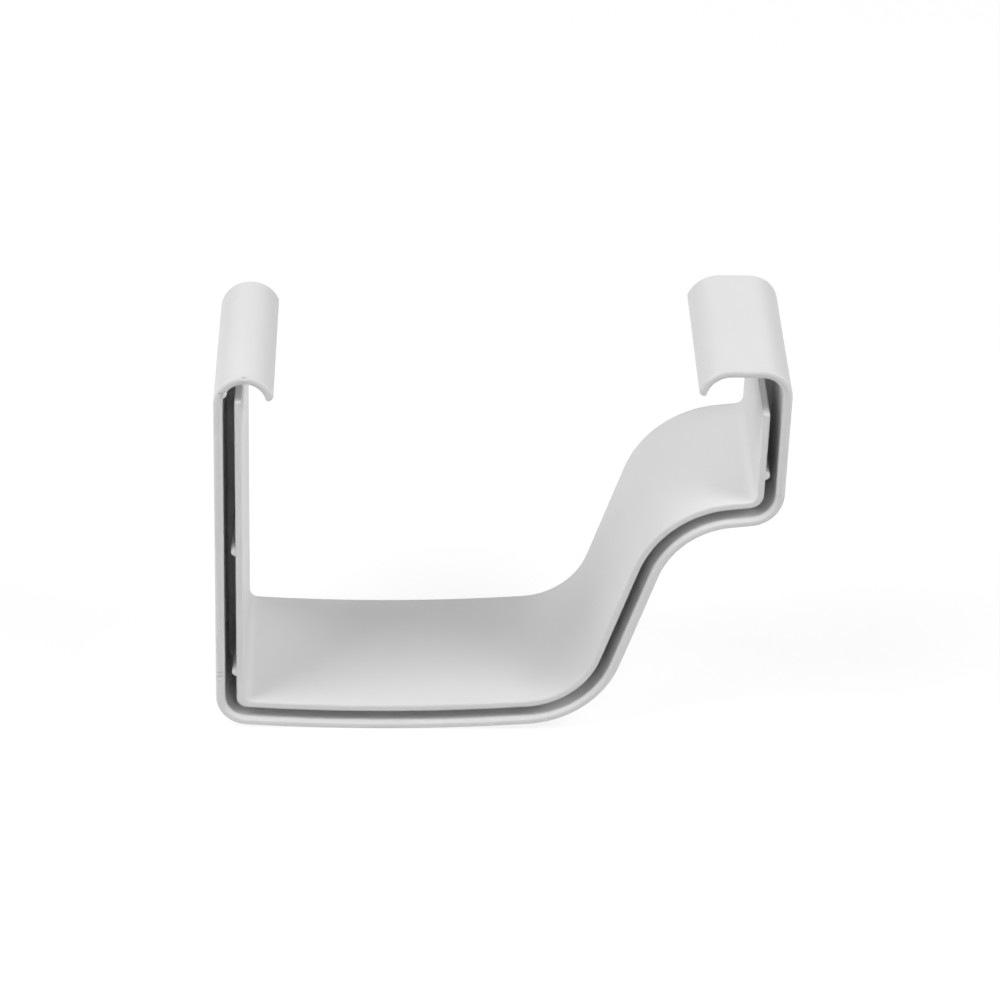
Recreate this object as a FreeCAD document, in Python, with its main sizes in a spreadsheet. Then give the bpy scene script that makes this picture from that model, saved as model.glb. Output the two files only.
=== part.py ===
"""Gutter union: one moulded piece that joins two lengths of ogee gutter end to end.

Millimetres and degrees. X runs from the back face to the front, Y along the gutter, Z up. The origin lies
under the middle of the part, level with the lowest line of its floor.

An outer wall and an inner wall follow the same ogee section with an even slot between them. A web at
mid-length joins the walls all round and stops both gutters. The outer wall ends in two clips: a half-round
hook at the back and a wide flat-topped hook at the front.
"""
import FreeCAD
import Part
import Sketcher
import math
import os
from FreeCAD import Vector

NODE = "gutter_union"

# Driving dimensions: alias, value, meaning
SIZES = [
    ("overall_width", 133.0, "back face to the outermost line of the front shoulder"),
    ("overall_length", 51.2, "rim to rim along the gutter"),
    ("overall_height", 96.65, "lowest line of the floor to the top of the front clip"),
    ("outer_wall", 2.1, "thickness of the outer wall and of both clips"),
    ("slot_gap", 2.8, "width of the slot that takes the gutter"),
    ("inner_wall", 1.55, "thickness of the inner wall"),
    ("inner_set_back", 0.2, "how far each inner rim lies behind the outer rim"),
    ("web_thickness", 2.0, "centre web, along the gutter"),
    ("web_drop", 2.5, "top of the web below the tops of the inner wall"),
    ("back_height", 93.55, "lowest line of the floor to the top of the back clip"),
    ("back_clip_radius", 7.15, "outer radius of the back clip"),
    ("back_corner_radius", 7.5, "outer radius between back wall and floor"),
    ("floor_bow_radius", 480.0, "outer radius of the slightly bowed floor"),
    ("floor_low_line", 35.0, "back face to the lowest line of the floor"),
    ("lower_curve_radius", 24.5, "outer radius of the ogee's lower curve"),
    ("slant_angle", 19.0, "slanted wall from the vertical"),
    ("slant_set_back", 43.6, "front shoulder to where the slanted face would meet floor level"),
    ("hollow_radius", 20.0, "outer radius of the ogee's hollow curve"),
    ("ledge_angle", 6.5, "rise of the ledge towards the front"),
    ("ledge_height", 56.9, "height of the ledge's underside, carried on to the overall width"),
    ("front_corner_radius", 8.4, "outer radius between ledge and front wall"),
    ("least_corner_radius", 2.2, "smallest radius of those two corners, towards the inside"),
    ("front_lean", 1.1, "outward lean of the front wall"),
    ("shoulder_radius", 7.0, "outer radius between front wall and clip top"),
    ("front_clip_depth", 22.1, "front shoulder to the far side of the lip"),
    ("lip_radius", 8.0, "outer radius of the front clip's lip"),
    ("tip_angle", 22.5, "where the clips stop, above the level of their centres"),
    ("tip_round", 1.3, "rounding of the clips' tips, from their outer face"),
    ("inner_back_drop", 6.55, "top of the inner wall at the back, below the back clip's top"),
    ("inner_front_drop", 11.45, "top of the inner wall at the front, below the front clip's top"),
    ("rib_radius", 1.1, "pressing ribs on the slot side of the inner wall"),
    ("rib_set_back", 0.1, "end of a rib behind the inner rim"),
    ("lower_back_rib", 14.9, "height of the lower rib on the back wall"),
    ("upper_back_rib", 47.4, "height of the upper rib on the back wall"),
    ("front_rib_rise", 12.2, "height of the rib on the front wall, above the ledge's underside"),
    ("rim_round", 0.6, "rounding of the outer wall's rims, on the outer face"),
    ("mouth_chamfer", 0.8, "lead-in chamfer of the outer wall's rims, on the slot side"),
    ("inner_chamfer", 0.25, "chamfer of the inner wall's rims, on the channel side"),
    ("rib_end_round", 0.9, "rounding of the ribs' ends"),
]
VALUE = {alias: value for alias, value, _ in SIZES}

# Largest share of a wall that a rounding or chamfer may take from one side
ROUND_SHARE = 0.45

# Angles and places that several dimensions share, in the words of the sheet
SLANT = "(sheet.slant_angle * 1 deg)"
LEDGE = "(sheet.ledge_angle * 1 deg)"
LEAN = "(sheet.front_lean * 1 deg)"
TIP = "(sheet.tip_angle * 1 deg)"
HALF_WIDTH = "(sheet.overall_width / 2)"
SHOULDER_X = f"({HALF_WIDTH} - sheet.shoulder_radius)"
SHOULDER_Z = "(sheet.overall_height - sheet.shoulder_radius)"
BACK_CLIP_Z = "(sheet.back_height - sheet.back_clip_radius)"
LIP_X = f"({HALF_WIDTH} - sheet.front_clip_depth + sheet.lip_radius)"
LIP_Z = "(sheet.overall_height - sheet.lip_radius)"
FRONT_FACE = f"({SHOULDER_X} * cos({LEAN}) - {SHOULDER_Z} * sin({LEAN}) + sheet.shoulder_radius)"
FRONT_RIB_Z = "(sheet.ledge_height + sheet.front_rib_rise)"
INNER_LENGTH = "(sheet.overall_length - 2 * sheet.inner_set_back)"
INNER_BACK_TOP = "(sheet.back_height - sheet.inner_back_drop)"
INNER_FRONT_TOP = "(sheet.overall_height - sheet.inner_front_drop)"

# Depths below the outer face at which the section is drawn
FACE = "0"
OUTER_MIDDLE = "(sheet.outer_wall / 2)"
SLOT_OUTSIDE = "sheet.outer_wall"
SLOT_INSIDE = "(sheet.outer_wall + sheet.slot_gap)"
INNER_MIDDLE = "(sheet.outer_wall + sheet.slot_gap + sheet.inner_wall / 2)"
INNER_FACE = "(sheet.outer_wall + sheet.slot_gap + sheet.inner_wall)"

# How near an edge lies to a plane to count as in it
TOLERANCE = 1e-4

# Ends of a piece of geometry in a sketch, and the sketch's own origin
START, END, CENTRE = range(1, 4)
ORIGIN = (-1, 1)


def make_sheet(doc):
    """The driving dimensions, one row each."""
    sheet = doc.addObject("Spreadsheet::Sheet", "sheet")
    for row, (alias, value, meaning) in enumerate(SIZES, start=1):
        sheet.set(f"A{row}", meaning)
        sheet.set(f"B{row}", str(value))
        sheet.setAlias(f"B{row}", alias)
    doc.recompute()
    return sheet


def number(doc, expression):
    """The value of an expression: millimetres, or radians for an angle."""
    result = doc.sheet.evalExpression(expression)
    if not isinstance(result, FreeCAD.Units.Quantity):
        return float(result)
    if result.Unit == FreeCAD.Units.Angle:
        return result.getValueAs("rad").Value
    return result.Value


def bind(sketch, kind, refs, expression):
    """Adds a dimension to a sketch and ties it to the sheet."""
    value = number(sketch.Document, expression)
    index = sketch.addConstraint(Sketcher.Constraint(kind, *refs, value))
    sketch.setExpression(f"Constraints[{index}]", expression)


def meeting(point_a, along_a, point_b, along_b):
    """Where two lines of the section cross."""
    gap = point_b - point_a
    turn = along_a.x * along_b.y - along_a.y * along_b.x
    return point_a + along_a * ((gap.x * along_b.y - gap.y * along_b.x) / turn)


def heading(vector):
    """Direction of a vector in radians."""
    return math.atan2(vector.y, vector.x)


def arc(centre, radius, start, end):
    """Arc that runs anticlockwise from one direction to another."""
    while end <= start:
        end += 2 * math.pi
    return Part.ArcOfCircle(Part.Circle(centre, Vector(0, 0, 1), radius), start, end)


class Section:
    """The ogee section: directions and centres that every depth shares."""

    def __init__(self):
        size = VALUE
        half = size["overall_width"] / 2
        slant = math.radians(size["slant_angle"])
        ledge = math.radians(size["ledge_angle"])
        lean = math.radians(size["front_lean"])
        self.back = -half
        self.tip = math.radians(size["tip_angle"])

        # Directions along the straight walls, and square to them towards the inside
        self.slant_along = Vector(math.sin(slant), math.cos(slant), 0)
        self.slant_in = Vector(-math.cos(slant), math.sin(slant), 0)
        self.ledge_along = Vector(math.cos(ledge), math.sin(ledge), 0)
        self.ledge_in = Vector(-math.sin(ledge), math.cos(ledge), 0)
        self.front_along = Vector(math.sin(lean), math.cos(lean), 0)
        self.front_in = Vector(-math.cos(lean), math.sin(lean), 0)

        # Centres of the curves that are the same at every depth
        clip = size["back_clip_radius"]
        self.back_clip = Vector(-half + clip, size["back_height"] - clip, 0)
        shoulder = size["shoulder_radius"]
        self.shoulder = Vector(half - shoulder, size["overall_height"] - shoulder, 0)
        lip = size["lip_radius"]
        self.lip = Vector(half - size["front_clip_depth"] + lip, size["overall_height"] - lip, 0)

        bow = size["floor_bow_radius"]
        self.floor = Vector(-half + size["floor_low_line"], bow, 0)
        slant_foot = Vector(half - size["slant_set_back"], 0, 0)
        lower = size["lower_curve_radius"]
        track = slant_foot + self.slant_in * lower - self.floor
        along = track.dot(self.slant_along)
        slide = -along - math.sqrt(along ** 2 - track.dot(track) + (bow - lower) ** 2)
        self.lower_curve = self.floor + track + self.slant_along * slide

        self.ledge_end = Vector(half, size["ledge_height"], 0)
        hollow = size["hollow_radius"]
        self.hollow = meeting(slant_foot - self.slant_in * hollow, self.slant_along,
                              self.ledge_end - self.ledge_in * hollow, self.ledge_along)
        self.front_face = self.shoulder - self.front_in * shoulder

    def back_corner(self, reach):
        """Centre of a corner that keeps this far from the outer faces of the back wall and the floor."""
        bow = VALUE["floor_bow_radius"]
        across = self.back + reach
        return Vector(across, bow - math.sqrt((bow - reach) ** 2 - (self.floor.x - across) ** 2), 0)

    def front_corner(self, reach):
        """Centre of a corner that keeps this far from the outer faces of the ledge and the front wall."""
        return meeting(self.ledge_end + self.ledge_in * reach, self.ledge_along,
                       self.front_face + self.front_in * reach, self.front_along)

    def channel(self, depth, back_top, front_top):
        """The open channel from the back wall's top to the front wall's, as named pieces of geometry."""
        size = VALUE
        corner = max(size["back_corner_radius"] - depth, size["least_corner_radius"])
        back_corner = self.back_corner(depth + corner)
        lower = size["lower_curve_radius"] - depth
        hollow = size["hollow_radius"] + depth
        bend = max(size["front_corner_radius"] - depth, size["least_corner_radius"])
        front_corner = self.front_corner(depth + bend)
        front_foot = front_corner - self.front_in * bend
        rise = (front_top - front_foot.y) / self.front_along.y
        floor_start = heading(back_corner - self.floor)
        floor_end = heading(self.lower_curve - self.floor)
        back = self.back + depth
        return {
            "back_wall": Part.LineSegment(Vector(back, back_top, 0), Vector(back, back_corner.y, 0)),
            "back_corner": arc(back_corner, corner, -math.pi, floor_start),
            "floor": arc(self.floor, size["floor_bow_radius"] - depth, floor_start, floor_end),
            "lower_curve": arc(self.lower_curve, lower, floor_end, heading(-self.slant_in)),
            "slant": Part.LineSegment(self.lower_curve - self.slant_in * lower,
                                      self.hollow + self.slant_in * hollow),
            "hollow": arc(self.hollow, hollow, heading(self.ledge_in), heading(self.slant_in)),
            "ledge": Part.LineSegment(self.hollow + self.ledge_in * hollow,
                                      front_corner - self.ledge_in * bend),
            "front_corner": arc(front_corner, bend, heading(-self.ledge_in), heading(-self.front_in)),
            "front_wall": Part.LineSegment(front_foot, front_foot + self.front_along * rise),
        }

    def past_tip(self, radius, depth):
        """How much further round a clip's face runs at this depth than at the outer face, up to its tip."""
        face = radius - depth
        middle = radius - VALUE["tip_round"]
        reach = max(VALUE["tip_round"] ** 2 - (face - middle) ** 2, 0)
        return 2 * math.asin(math.sqrt(reach / (4 * face * middle)))

    def clipped_channel(self, depth):
        """The channel with both clips on it, from the back clip's tip to the lip's."""
        size = VALUE
        back_end = self.tip - self.past_tip(size["back_clip_radius"], depth)
        lip_end = math.pi - self.tip + self.past_tip(size["lip_radius"], depth)
        shoulder = size["shoulder_radius"] - depth
        shoulder_foot = self.shoulder - self.front_in * shoulder
        top = size["overall_height"] - depth
        outline = {"back_clip": arc(self.back_clip, size["back_clip_radius"] - depth, back_end, math.pi)}
        outline.update(self.channel(depth, self.back_clip.y, shoulder_foot.y))
        outline["shoulder"] = arc(self.shoulder, shoulder, heading(-self.front_in), math.pi / 2)
        outline["clip_top"] = Part.LineSegment(Vector(self.shoulder.x, top, 0), Vector(self.lip.x, top, 0))
        outline["lip"] = arc(self.lip, size["lip_radius"] - depth, math.pi / 2, lip_end)
        return outline


def draw_outline(sketch, outline, depth):
    """Draws one outline as a chain of tangent pieces and ties it to the sheet at its depth."""
    at = {}
    for name, geometry in outline.items():
        at[name] = sketch.addGeometry(geometry)
    names = list(outline)
    for name, following in zip(names, names[1:]):
        # Only the hollow curve bends the other way, so the chain enters it at its end
        leave = START if name == "hollow" else END
        enter = END if following == "hollow" else START
        sketch.addConstraint(Sketcher.Constraint("Tangent", at[name], leave, at[following], enter))

    sketch.addConstraint(Sketcher.Constraint("Vertical", at["back_wall"]))
    bind(sketch, "DistanceX", (at["back_wall"], END, *ORIGIN), f"{HALF_WIDTH} - {depth}")
    bind(sketch, "Radius", (at["back_corner"],),
         f"max(sheet.back_corner_radius - {depth}; sheet.least_corner_radius)")
    bind(sketch, "Radius", (at["floor"],), f"sheet.floor_bow_radius - {depth}")
    bind(sketch, "DistanceX", (at["floor"], CENTRE, *ORIGIN), f"{HALF_WIDTH} - sheet.floor_low_line")
    bind(sketch, "DistanceY", (*ORIGIN, at["floor"], CENTRE), "sheet.floor_bow_radius")
    bind(sketch, "Radius", (at["lower_curve"],), f"sheet.lower_curve_radius - {depth}")
    bind(sketch, "Angle", (at["slant"],), f"90 deg - {SLANT}")
    bind(sketch, "Distance", (*ORIGIN, at["slant"]),
         f"({HALF_WIDTH} - sheet.slant_set_back) * cos({SLANT}) - {depth}")
    bind(sketch, "Radius", (at["hollow"],), f"sheet.hollow_radius + {depth}")
    bind(sketch, "Angle", (at["ledge"],), LEDGE)
    bind(sketch, "Distance", (*ORIGIN, at["ledge"]),
         f"sheet.ledge_height * cos({LEDGE}) - {HALF_WIDTH} * sin({LEDGE}) + {depth}")
    bind(sketch, "Radius", (at["front_corner"],),
         f"max(sheet.front_corner_radius - {depth}; sheet.least_corner_radius)")
    bind(sketch, "Angle", (at["front_wall"],), f"90 deg - {LEAN}")
    bind(sketch, "Distance", (*ORIGIN, at["front_wall"]), f"{FRONT_FACE} - {depth}")
    return at


def bind_clips(sketch, at, depth):
    """Ties the clips of one outline to the sheet."""
    bind(sketch, "Radius", (at["back_clip"],), f"sheet.back_clip_radius - {depth}")
    bind(sketch, "DistanceY", (*ORIGIN, at["back_clip"], CENTRE), BACK_CLIP_Z)
    bind(sketch, "Radius", (at["shoulder"],), f"sheet.shoulder_radius - {depth}")
    sketch.addConstraint(Sketcher.Constraint("Horizontal", at["clip_top"]))
    bind(sketch, "DistanceY", (*ORIGIN, at["clip_top"], START), f"sheet.overall_height - {depth}")
    bind(sketch, "Radius", (at["lip"],), f"sheet.lip_radius - {depth}")
    bind(sketch, "DistanceX", (*ORIGIN, at["lip"], CENTRE), LIP_X)


def add_tip(sketch, clip_centre, direction, outside, inside, join, height):
    """Closes the end of a clip with a rounding that leaves its outer face smoothly."""
    radius = VALUE["tip_round"]
    centre = clip_centre + direction * (sketch.Geometry[outside].Radius - radius)
    corner = heading(sketch.getPoint(inside, join) - centre)
    away = heading(direction)
    start, end = (corner, away) if join == START else (away, corner)
    tip = sketch.addGeometry(arc(centre, radius, start, end))
    out_end, in_end = (END, START) if join == START else (START, END)
    sketch.addConstraint(Sketcher.Constraint("Tangent", tip, out_end, outside, join))
    sketch.addConstraint(Sketcher.Constraint("Coincident", tip, in_end, inside, join))
    bind(sketch, "Radius", (tip,), "sheet.tip_round")
    bind(sketch, "DistanceY", (*ORIGIN, tip, CENTRE), height)


def add_top(sketch, outside, inside, join, height):
    """Closes the top of a plain wall with a level line."""
    first = sketch.getPoint(outside, join)
    second = sketch.getPoint(inside, join)
    top = sketch.addGeometry(Part.LineSegment(first, second))
    sketch.addConstraint(Sketcher.Constraint("Coincident", top, START, outside, join))
    sketch.addConstraint(Sketcher.Constraint("Coincident", top, END, inside, join))
    sketch.addConstraint(Sketcher.Constraint("Horizontal", top))
    bind(sketch, "DistanceY", (*ORIGIN, top, START), height)


def new_sketch(body, name):
    """An empty sketch on the body's upright cross plane."""
    sketch = body.newObject("Sketcher::SketchObject", name)
    plane = next(item for item in body.Origin.OriginFeatures if item.Role == "XZ_Plane")
    sketch.AttachmentSupport = (plane, "")
    sketch.MapMode = "FlatFace"
    return sketch


def add_pad(body, sketch, name, length):
    """Pads a sketch evenly to both sides of the cross plane."""
    pad = body.newObject("PartDesign::Pad", name)
    pad.Profile = sketch
    pad.SideType = "Symmetric"
    pad.setExpression("Length", length)
    body.Document.recompute()
    return pad


def add_outer_wall(body, section):
    """Outer wall and both clips, one band from tip to tip."""
    sketch = new_sketch(body, "outer_section")
    face = draw_outline(sketch, section.clipped_channel(0), FACE)
    bind_clips(sketch, face, FACE)
    slot = draw_outline(sketch, section.clipped_channel(VALUE["outer_wall"]), SLOT_OUTSIDE)
    bind_clips(sketch, slot, SLOT_OUTSIDE)

    back_tip = Vector(math.cos(section.tip), math.sin(section.tip), 0)
    lip_tip = Vector(-math.cos(section.tip), math.sin(section.tip), 0)
    add_tip(sketch, section.back_clip, back_tip, face["back_clip"], slot["back_clip"], START,
            f"{BACK_CLIP_Z} + (sheet.back_clip_radius - sheet.tip_round) * sin({TIP})")
    add_tip(sketch, section.lip, lip_tip, face["lip"], slot["lip"], END,
            f"{LIP_Z} + (sheet.lip_radius - sheet.tip_round) * sin({TIP})")
    return add_pad(body, sketch, "outer_wall", "sheet.overall_length")


def add_plain_band(body, section, name, outside, inside, drop, length):
    """A band of the channel between two depths, with level tops."""
    sketch = new_sketch(body, f"{name}_section")
    back_top = f"{INNER_BACK_TOP} - {drop}"
    front_top = f"{INNER_FRONT_TOP} - {drop}"
    sides = []
    for depth in (outside, inside):
        outline = section.channel(number(body.Document, depth), number(body.Document, back_top),
                                  number(body.Document, front_top))
        sides.append(draw_outline(sketch, outline, depth))
    first, second = sides
    add_top(sketch, first["back_wall"], second["back_wall"], START, back_top)
    add_top(sketch, first["front_wall"], second["front_wall"], END, front_top)
    return add_pad(body, sketch, name, length)


def add_ribs(body):
    """Half-round ribs along the slot side of the inner wall, which press on the gutter."""
    sketch = new_sketch(body, "rib_section")
    back_x = f"{HALF_WIDTH} - {SLOT_INSIDE}"
    front_x = f"({FRONT_FACE} - {SLOT_INSIDE} + {FRONT_RIB_Z} * sin({LEAN})) / cos({LEAN})"
    ribs = [(-1, back_x, "sheet.lower_back_rib"), (-1, back_x, "sheet.upper_back_rib"),
            (1, front_x, FRONT_RIB_Z)]
    for side, across, height in ribs:
        centre = Vector(side * number(body.Document, across), number(body.Document, height), 0)
        rib = sketch.addGeometry(Part.Circle(centre, Vector(0, 0, 1), VALUE["rib_radius"]))
        ends = (rib, CENTRE, *ORIGIN) if side < 0 else (*ORIGIN, rib, CENTRE)
        bind(sketch, "DistanceX", ends, across)
        bind(sketch, "DistanceY", (*ORIGIN, rib, CENTRE), height)
        bind(sketch, "Radius", (rib,), "sheet.rib_radius")
    return add_pad(body, sketch, "ribs", f"{INNER_LENGTH} - 2 * sheet.rib_set_back")


def edges_on_ends(shape, half_length, outline=None, round_only=False):
    """Names of the edges in both end planes at this distance from the middle: all, or one outline's."""
    curves = [geometry.toShape() for geometry in outline.values()] if outline else []
    found = []
    for index, edge in enumerate(shape.Edges, start=1):
        box = edge.BoundBox
        if box.YLength > TOLERANCE or abs(abs(box.Center.y) - half_length) > TOLERANCE:
            continue
        if round_only and edge.Curve.TypeId != "Part::GeomCircle":
            continue
        middle = edge.valueAt((edge.FirstParameter + edge.LastParameter) / 2)
        spot = Part.Vertex(middle.x, middle.z, 0)
        if not outline or min(curve.distToShape(spot)[0] for curve in curves) < TOLERANCE:
            found.append(f"Edge{index}")
    return found


def soften(body, base, name, kind, edges, size):
    """Rounds or chamfers the named edges of a feature."""
    feature = body.newObject(f"PartDesign::{kind}", name)
    feature.Base = (base, edges)
    feature.setExpression("Radius" if kind == "Fillet" else "Size", size)
    body.Document.recompute()
    return feature


def add_rounds(body, base, section):
    """Rounds the ribs' ends and the outer edges, and chamfers the slot's mouth and the inner rims."""
    doc = body.Document
    half = number(doc, "sheet.overall_length / 2")
    inner_half = number(doc, f"{INNER_LENGTH} / 2")
    rib_half = number(doc, f"{INNER_LENGTH} / 2 - sheet.rib_set_back")

    rib_ends = edges_on_ends(base.Shape, rib_half, round_only=True)
    base = soften(body, base, "rib_end_rounds", "Fillet", rib_ends,
                  f"min(sheet.rib_end_round; 2 * {ROUND_SHARE} * sheet.rib_radius)")
    channel_side = section.channel(number(doc, INNER_FACE), number(doc, INNER_BACK_TOP),
                                   number(doc, INNER_FRONT_TOP))
    inner_rims = edges_on_ends(base.Shape, inner_half, channel_side)
    base = soften(body, base, "inner_rim_chamfers", "Chamfer", inner_rims,
                  f"min(sheet.inner_chamfer; {ROUND_SHARE} * sheet.inner_wall)")
    mouth = edges_on_ends(base.Shape, half, section.clipped_channel(VALUE["outer_wall"]))
    base = soften(body, base, "mouth_chamfers", "Chamfer", mouth,
                  f"min(sheet.mouth_chamfer; {ROUND_SHARE} * sheet.outer_wall)")
    outer_rims = edges_on_ends(base.Shape, half, section.clipped_channel(0))
    return soften(body, base, "outer_rim_rounds", "Fillet", outer_rims,
                  f"min(sheet.rim_round; {ROUND_SHARE} * sheet.outer_wall)")


def check(doc, body):
    """Stops before anything is written if a step of the model failed."""
    failed = [item.Name for item in doc.Objects if "Invalid" in item.State or "Error" in item.State]
    if failed:
        raise RuntimeError("steps that failed: " + ", ".join(failed))
    shape = body.Shape
    if shape.isNull() or not shape.isValid() or len(shape.Solids) != 1:
        raise RuntimeError("the union is not one valid solid")


def main():
    doc = FreeCAD.newDocument("gutter_union_model")
    make_sheet(doc)
    body = doc.addObject("PartDesign::Body", NODE)
    body.Label = NODE
    body.Placement = FreeCAD.Placement()
    section = Section()
    add_outer_wall(body, section)
    add_plain_band(body, section, "centre_web", OUTER_MIDDLE, INNER_MIDDLE, "sheet.web_drop",
                   "sheet.web_thickness")
    add_plain_band(body, section, "inner_wall", SLOT_INSIDE, INNER_FACE, "0", INNER_LENGTH)
    ribs = add_ribs(body)
    body.Tip = add_rounds(body, ribs, section)
    doc.recompute()
    check(doc, body)
    os.makedirs("parts", exist_ok=True)
    body.Shape.exportStep(f"parts/{body.Label}.step")


main()
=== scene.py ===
"""Looks, light and camera for the gutter union. Metres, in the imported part's own frame."""
import math
import bmesh
import bpy
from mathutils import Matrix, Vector


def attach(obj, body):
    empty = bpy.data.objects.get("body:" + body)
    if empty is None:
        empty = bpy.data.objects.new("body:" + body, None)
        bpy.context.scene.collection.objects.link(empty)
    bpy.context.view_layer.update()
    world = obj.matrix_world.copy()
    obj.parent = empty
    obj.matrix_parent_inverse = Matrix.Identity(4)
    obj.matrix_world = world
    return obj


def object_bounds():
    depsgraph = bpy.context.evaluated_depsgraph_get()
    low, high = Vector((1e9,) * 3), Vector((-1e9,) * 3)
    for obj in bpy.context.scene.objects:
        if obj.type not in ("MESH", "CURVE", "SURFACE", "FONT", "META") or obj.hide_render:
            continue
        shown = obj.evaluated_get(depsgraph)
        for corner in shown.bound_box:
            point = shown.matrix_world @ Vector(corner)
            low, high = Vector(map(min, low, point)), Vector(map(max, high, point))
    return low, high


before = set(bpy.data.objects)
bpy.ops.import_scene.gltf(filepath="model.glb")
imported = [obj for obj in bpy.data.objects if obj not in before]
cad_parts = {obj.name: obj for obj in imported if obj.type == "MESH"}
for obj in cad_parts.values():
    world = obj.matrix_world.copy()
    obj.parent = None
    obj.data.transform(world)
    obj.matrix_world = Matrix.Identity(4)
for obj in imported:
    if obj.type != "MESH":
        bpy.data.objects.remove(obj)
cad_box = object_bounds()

NODE = "gutter_union"
SLOT = "white_pvc"
MM = 0.001

# Camera of the photograph: place, turn in degrees, lens on a 36 mm sensor
CAMERA_AT = (-0.026586, -0.933908, 0.554592)
CAMERA_TURN = (61.5558, -1.2144, -1.0068)
CAMERA_LENS = 160.35
SENSOR_WIDTH = 36.0

# White PVC: two close tones, the range of its gloss, and the softness of its moulded edges
PVC_TONES = ((0.80, 0.80, 0.80), (0.85, 0.85, 0.85))
PVC_ROUGHNESS = (0.46, 0.58)
EDGE_SOFTNESS = 0.0007
EDGE_SAMPLES = 8

# Noises of that PVC: grains to the metre and detail, and how far its fine grain stands out
TONE_CLOUDS = (35, 3)
GLOSS_CLOUDS = (120, 4)
FINE_GRAIN = (2500, 2)
GRAIN_STRENGTH = 0.15
GRAIN_HEIGHT = 0.00002

# Marks that the mould left proud of the near rims: name, place across and up in mm, half width and
# half height in mm, turn in degrees, and a profile of its share of those sizes and its height in mm
MARK_SIDES = 20
TRIMMED = ((1.0, -0.7), (0.95, 0.08), (0.78, 0.24), (0.5, 0.33), (0.25, 0.34))
FLUSH = ((1.0, -0.9), (1.0, -0.2), (0.75, -0.02), (0.35, 0.02))
DOMED = ((1.0, -0.3), (0.9, 0.06), (0.65, 0.14), (0.35, 0.18))
DISHED = ((1.0, -0.3), (0.95, 0.05), (0.8, 0.1), (0.55, 0.02), (0.3, -0.05))
RAISED_MARKS = [
    ("gate_scar", (-59.4, 92.85), (0.95, 0.5), 0, TRIMMED),
    ("clip_flash", (-63.9, 88.85), (0.45, 0.9), -30, FLUSH),
    ("upper_pip", (-65.6, 77.9), (0.34, 0.3), 0, DOMED),
    ("lower_pip", (-65.5, 13.3), (0.32, 0.28), 0, DOMED),
    ("ejector_ring", (64.8, 64.5), (0.65, 0.6), 0, DISHED),
]

# Marks that it left sunk in them: place across and up and half sizes in mm. All have one depth, one
# darker colour that is painted shade for their hollows, and one reach along the gutter, in mm, from the
# near end
SUNK_MARKS = [
    ((-64.75, 89.45), (0.85, 0.5)),
    ((-59.4, 93.4), (1.2, 0.3)),
    ((-65.5, 15.3), (1.4, 0.24)),
    ((-65.5, 14.1), (1.4, 0.18)),
]
MARK_DEPTH = 0.0001
MARK_PAINTED_SHADE = (0.55, 0.55, 0.55)
MARK_REACH = 1.5

# Soft lamps: name, azimuth from the front and height in degrees, power in watts
LAMPS = [
    ("front_fill", 0, 30, 0.8),
    ("left_box", 300, 45, 4.1),
    ("left_top", 300, 60, 4.3),
    ("left_fill", 270, 32, 4.6),
    ("right_box", 60, 45, 7.4),
    ("right_fill", 80, 45, 2.3),
    ("back_left", 200, 30, 1.0),
    ("back_right", 160, 30, 1.5),
]
LAMP_REACH = 1.4
LAMP_SIZE = 0.6

# Surround: the light that it gives, and its white in the picture
WORLD_COLOUR = (1.0, 1.0, 1.0)
WORLD_STRENGTH = 0.015
WORLD_WHITE = 1.0

# Floor: what it gives back to the part, and its white and its shadow's depth in the picture
FLOOR_SIZE = 4.0
FLOOR_COLOUR = (0.80, 0.80, 0.80)
FLOOR_ROUGHNESS = 0.9
FLOOR_WHITE = 0.845
FLOOR_SHADE = (0.22, 0.22, 0.22)


def new_material(name):
    """A material with its node tree and shader."""
    material = bpy.data.materials.new(name)
    material.use_nodes = True
    tree = material.node_tree
    return material, tree, tree.nodes["Principled BSDF"]


def noise(tree, place, scale, detail):
    """A noise of this many grains to the metre."""
    node = tree.nodes.new("ShaderNodeTexNoise")
    node.inputs["Scale"].default_value = scale
    node.inputs["Detail"].default_value = detail
    tree.links.new(place, node.inputs["Vector"])
    return node.outputs["Fac"]


def larger(tree, first, second):
    """The larger of two values."""
    node = tree.nodes.new("ShaderNodeMath")
    node.operation = "MAXIMUM"
    tree.links.new(first, node.inputs[0])
    tree.links.new(second, node.inputs[1])
    return node.outputs["Value"]


def sunk_mark(tree, place, centre, half_sizes):
    """One at the middle of a mark on the near end, nought outside it."""
    offset = tree.nodes.new("ShaderNodeVectorMath")
    offset.operation = "SUBTRACT"
    offset.inputs[1].default_value = (centre[0] * MM, cad_box[0].y, centre[1] * MM)
    tree.links.new(place, offset.inputs[0])
    share = tree.nodes.new("ShaderNodeVectorMath")
    share.operation = "DIVIDE"
    share.inputs[1].default_value = (half_sizes[0] * MM, MARK_REACH * MM, half_sizes[1] * MM)
    tree.links.new(offset.outputs["Vector"], share.inputs[0])
    span = tree.nodes.new("ShaderNodeVectorMath")
    span.operation = "LENGTH"
    tree.links.new(share.outputs["Vector"], span.inputs[0])
    inside = tree.nodes.new("ShaderNodeMapRange")
    inside.interpolation_type = "SMOOTHSTEP"
    inside.inputs["From Min"].default_value = 1
    inside.inputs["From Max"].default_value = 0
    tree.links.new(span.outputs["Value"], inside.inputs["Value"])
    return inside.outputs["Result"]


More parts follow.
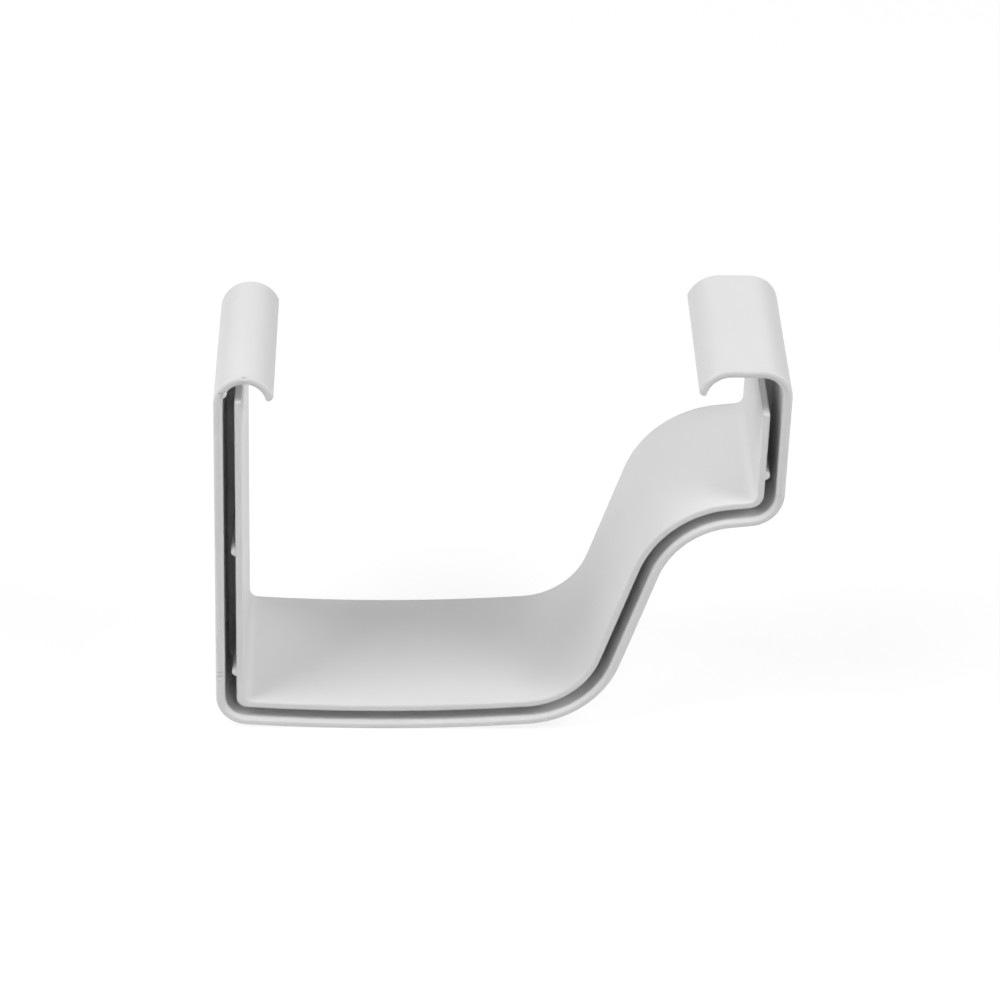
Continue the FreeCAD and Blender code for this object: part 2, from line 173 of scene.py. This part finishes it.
def white_pvc(name, softness):
    """Moulded satin white PVC: faint clouds of tone and gloss, a fine grain, softened edges, sunk marks
    with painted shade in them.
    """
    material, tree, shader = new_material(name)
    place = tree.nodes.new("ShaderNodeTexCoord").outputs["Object"]

    sunk_depth_and_shade = sunk_mark(tree, place, *SUNK_MARKS[0])
    for mark in SUNK_MARKS[1:]:
        sunk_depth_and_shade = larger(tree, sunk_depth_and_shade, sunk_mark(tree, place, *mark))

    tone = tree.nodes.new("ShaderNodeValToRGB")
    for stop, colour in zip(tone.color_ramp.elements, PVC_TONES):
        stop.color = (*colour, 1)
    tree.links.new(noise(tree, place, *TONE_CLOUDS), tone.inputs["Fac"])
    # Painted shade: the base colour darkens inside the sunk marks, standing in for the shade in their
    # hollows
    painted_shade_in_marks = tree.nodes.new("ShaderNodeMixRGB")
    painted_shade_in_marks.inputs["Color2"].default_value = (*MARK_PAINTED_SHADE, 1)
    tree.links.new(sunk_depth_and_shade, painted_shade_in_marks.inputs["Fac"])
    tree.links.new(tone.outputs["Color"], painted_shade_in_marks.inputs["Color1"])
    tree.links.new(painted_shade_in_marks.outputs["Color"], shader.inputs["Base Color"])

    gloss = tree.nodes.new("ShaderNodeMapRange")
    gloss.inputs["To Min"].default_value, gloss.inputs["To Max"].default_value = PVC_ROUGHNESS
    tree.links.new(noise(tree, place, *GLOSS_CLOUDS), gloss.inputs["Value"])
    tree.links.new(gloss.outputs["Result"], shader.inputs["Roughness"])

    edges = tree.nodes.new("ShaderNodeBevel")
    edges.samples = EDGE_SAMPLES
    edges.inputs["Radius"].default_value = softness
    grain = tree.nodes.new("ShaderNodeBump")
    grain.inputs["Strength"].default_value = GRAIN_STRENGTH
    grain.inputs["Distance"].default_value = GRAIN_HEIGHT
    tree.links.new(noise(tree, place, *FINE_GRAIN), grain.inputs["Height"])
    tree.links.new(edges.outputs["Normal"], grain.inputs["Normal"])

    marks = tree.nodes.new("ShaderNodeBump")
    marks.invert = True
    marks.inputs["Distance"].default_value = MARK_DEPTH
    tree.links.new(sunk_depth_and_shade, marks.inputs["Height"])
    tree.links.new(grain.outputs["Normal"], marks.inputs["Normal"])
    tree.links.new(marks.outputs["Normal"], shader.inputs["Normal"])
    return material


def add_raised_mark(name, centre, half_sizes, turn, profile, material):
    """A small lump on the near end: rings of its profile, the first in the part, the last closed."""
    mesh = bmesh.new()
    rings = []
    lean = math.radians(turn)
    for share, height in profile:
        ring = []
        for side in range(MARK_SIDES):
            angle = math.tau * side / MARK_SIDES
            across = share * half_sizes[0] * math.cos(angle)
            up = share * half_sizes[1] * math.sin(angle)
            x = centre[0] + across * math.cos(lean) - up * math.sin(lean)
            z = centre[1] + across * math.sin(lean) + up * math.cos(lean)
            ring.append(mesh.verts.new((x * MM, cad_box[0].y - height * MM, z * MM)))
        rings.append(ring)
    for outer, inner in zip(rings, rings[1:]):
        for side in range(MARK_SIDES):
            after = (side + 1) % MARK_SIDES
            mesh.faces.new((outer[side], outer[after], inner[after], inner[side]))
    mesh.faces.new(rings[-1])
    mesh.faces.new(reversed(rings[0]))
    bmesh.ops.recalc_face_normals(mesh, faces=mesh.faces)
    for face in mesh.faces:
        face.smooth = True
    data = bpy.data.meshes.new(name)
    mesh.to_mesh(data)
    mesh.free()
    data.materials.append(material)
    piece = bpy.data.objects.new(name, data)
    bpy.context.scene.collection.objects.link(piece)
    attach(piece, "root")


def show_instead(tree, lit, seen):
    """Lights other things as the first shader, and is seen, also in gloss and glass, as the second."""
    path = tree.nodes.new("ShaderNodeLightPath")
    looks = path.outputs["Is Camera Ray"]
    for ray in ("Is Glossy Ray", "Is Transmission Ray"):
        looks = larger(tree, looks, path.outputs[ray])
    choose = tree.nodes.new("ShaderNodeMixShader")
    tree.links.new(looks, choose.inputs["Fac"])
    tree.links.new(lit, choose.inputs[1])
    tree.links.new(seen, choose.inputs[2])
    return choose.outputs["Shader"]


def floor_white():
    """Pale floor that the camera sees as white with a faint shadow."""
    material, tree, shader = new_material("floor_white")
    shader.inputs["Base Color"].default_value = (*FLOOR_COLOUR, 1)
    shader.inputs["Roughness"].default_value = FLOOR_ROUGHNESS

    white = tree.nodes.new("ShaderNodeEmission")
    white.inputs["Strength"].default_value = FLOOR_WHITE
    shade = tree.nodes.new("ShaderNodeBsdfDiffuse")
    shade.inputs["Color"].default_value = (*FLOOR_SHADE, 1)
    seen = tree.nodes.new("ShaderNodeAddShader")
    tree.links.new(white.outputs["Emission"], seen.inputs[0])
    tree.links.new(shade.outputs["BSDF"], seen.inputs[1])

    floor = show_instead(tree, shader.outputs["BSDF"], seen.outputs["Shader"])
    tree.links.new(floor, tree.nodes["Material Output"].inputs["Surface"])
    return material


def add_floor():
    """A wide floor at the part's foot."""
    bpy.ops.mesh.primitive_plane_add(size=FLOOR_SIZE)
    floor = bpy.context.object
    floor.name = "floor"
    floor.data.materials.append(floor_white())


def add_lamps():
    """Soft square lamps on a dome, aimed at the part."""
    low, high = cad_box
    target = (low + high) / 2
    for name, azimuth, height, power in LAMPS:
        across = math.radians(azimuth)
        up = math.radians(height)
        outward = Vector((math.cos(up) * math.sin(across), -math.cos(up) * math.cos(across), math.sin(up)))
        data = bpy.data.lights.new(name, "AREA")
        data.size = LAMP_SIZE
        data.energy = power
        lamp = bpy.data.objects.new(name, data)
        lamp.location = target + outward * LAMP_REACH
        lamp.rotation_euler = outward.to_track_quat("Z", "Y").to_euler()
        bpy.context.scene.collection.objects.link(lamp)


def set_world():
    """A surround that gives little light and is seen as white."""
    world = bpy.data.worlds.new("surround")
    world.use_nodes = True
    tree = world.node_tree
    lit = tree.nodes["Background"]
    seen = tree.nodes.new("ShaderNodeBackground")
    for background, strength in ((lit, WORLD_STRENGTH), (seen, WORLD_WHITE)):
        background.inputs["Color"].default_value = (*WORLD_COLOUR, 1)
        background.inputs["Strength"].default_value = strength
    surround = show_instead(tree, lit.outputs["Background"], seen.outputs["Background"])
    tree.links.new(surround, tree.nodes["World Output"].inputs["Surface"])
    bpy.context.scene.world = world


def add_camera():
    """The photograph's camera."""
    data = bpy.data.cameras.new("camera")
    data.sensor_width = SENSOR_WIDTH
    data.lens = CAMERA_LENS
    camera = bpy.data.objects.new("camera", data)
    camera.location = CAMERA_AT
    camera.rotation_euler = [math.radians(angle) for angle in CAMERA_TURN]
    bpy.context.scene.collection.objects.link(camera)
    bpy.context.scene.camera = camera


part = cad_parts[NODE]
part.data.materials.clear()
part.data.materials.append(white_pvc(SLOT, EDGE_SOFTNESS))
mark_pvc = white_pvc("white_pvc_marks", 0)
for mark in RAISED_MARKS:
    add_raised_mark(*mark, mark_pvc)
add_floor()
add_lamps()
set_world()
add_camera()
bpy.context.scene.view_settings.view_transform = "Standard"
